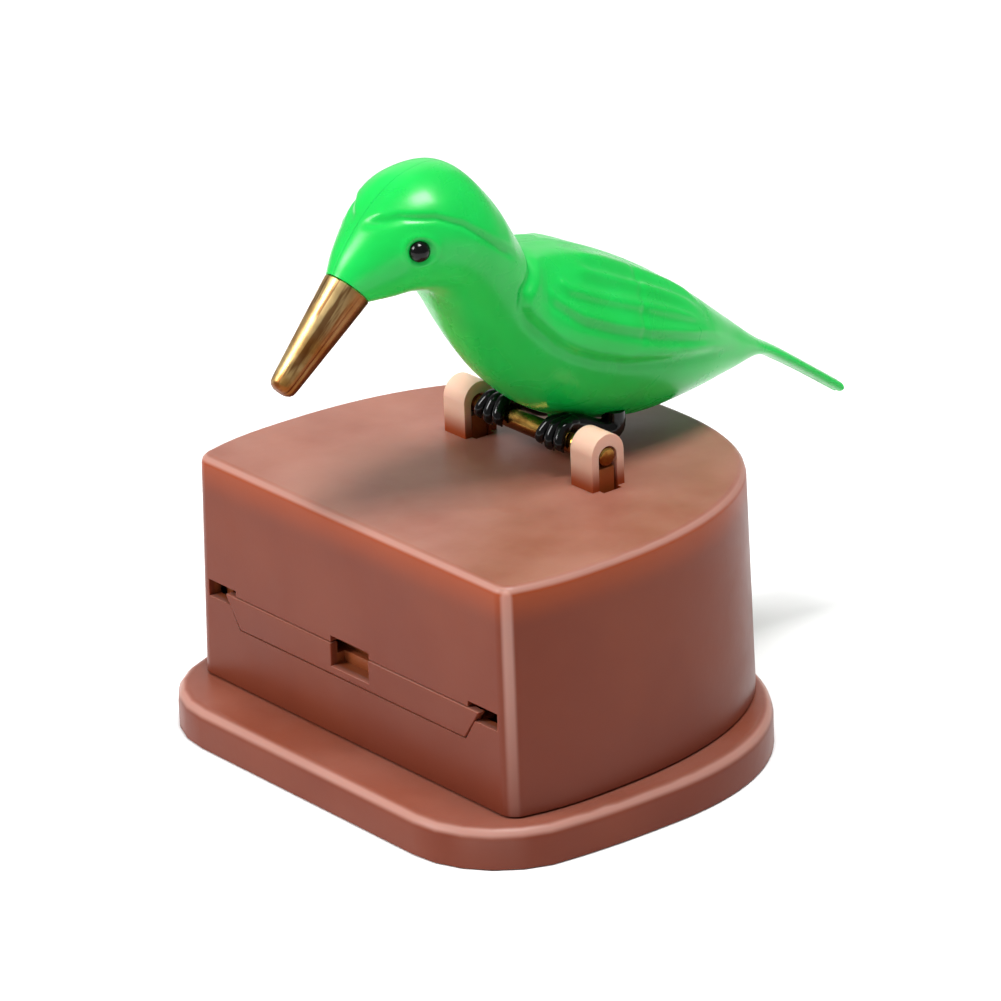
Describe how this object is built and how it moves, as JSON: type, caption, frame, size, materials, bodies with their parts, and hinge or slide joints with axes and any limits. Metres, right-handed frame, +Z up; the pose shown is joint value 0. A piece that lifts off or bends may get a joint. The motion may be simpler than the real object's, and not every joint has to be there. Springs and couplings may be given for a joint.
{
  "type": "bird toothpick dispenser",
  "caption": "Desktop toothpick box with a bird on a perch that tilts down and drives a tray out of a slot in the flat front wall.",
  "frame": {"origin": "on the flat underside of the base plate, in the middle of its width and under the middle of the box", "axes": "+Z up, -Y out of the flat front wall that the tray slides through, +X to the right of someone behind the box looking along the bird's bill"},
  "size_m": [0.0908, 0.1125, 0.0973],
  "materials": {
    "brown_plastic": "translucent brown injection-moulded plastic, satin",
    "green_plastic": "bright green moulded plastic, satin gloss",
    "gold_plate": "gold electroplated plastic, bright",
    "black_paint": "gloss black",
    "natural_plastic": "natural moulded plastic, matt",
    "steel": "plain drawn steel"
  },
  "bodies": {
    "base": {"base_plate": "brown_plastic"},
    "housing": {"housing": "brown_plastic", "chassis": "brown_plastic", "pick_ramp": "brown_plastic", "chassis_screw_left": "steel", "chassis_screw_right": "steel", "axle_keeper_left": "brown_plastic", "axle_keeper_right": "brown_plastic", "crank_pivot_pin": "steel", "return_spring": "steel"},
    "bird": {"bird_shell_left": "green_plastic", "bird_shell_right": "green_plastic", "bill": "gold_plate", "eye_left": "black_paint", "eye_right": "black_paint", "perch": "gold_plate", "foot_left": "black_paint", "foot_right": "black_paint", "drive_horn": "green_plastic", "horn_pin": "steel"},
    "link": {"pull_link": "brown_plastic"},
    "crank": {"bell_crank": "natural_plastic", "crank_link_pin": "steel"},
    "tray": {"toothpick_tray": "brown_plastic", "tray_drive_pin": "steel"}
  },
  "joints": [
    {"name": "housing_lift", "type": "slide", "parent": "base", "child": "housing", "axis": [0, 0, 1], "range_m": [0, 0.05]},
    {"name": "bird_tilt", "type": "hinge", "parent": "housing", "child": "bird", "pos_m": [0, 0.0073, 0.049], "axis": [1, 0, 0], "range_deg": [0, 52], "stiffness_Nm_per_rad": 0.012, "springref_deg": -17.19, "deforming": ["return_spring"]},
    {"name": "link_pivot", "type": "hinge", "parent": "bird", "child": "link", "pos_m": [0, 0.01546, 0.0452], "axis": [1, 0, 0], "range_deg": [-52, 0]},
    {"name": "crank_pivot", "type": "hinge", "parent": "housing", "child": "crank", "pos_m": [0, 0.0073, 0.00975], "axis": [1, 0, 0], "range_deg": [0, 52]},
    {"name": "tray_slide", "type": "slide", "parent": "housing", "child": "tray", "axis": [0, -1, 0], "range_m": [0, 0.00922]}
  ],
  "couplings": [
    {"joint": "link_pivot", "follows": "bird_tilt", "ratio": -1},
    {"joint": "crank_pivot", "follows": "bird_tilt", "ratio": 1},
    {"joint": "tray_slide", "follows": "bird_tilt", "m_per_rad": 0.010157}
  ]
}
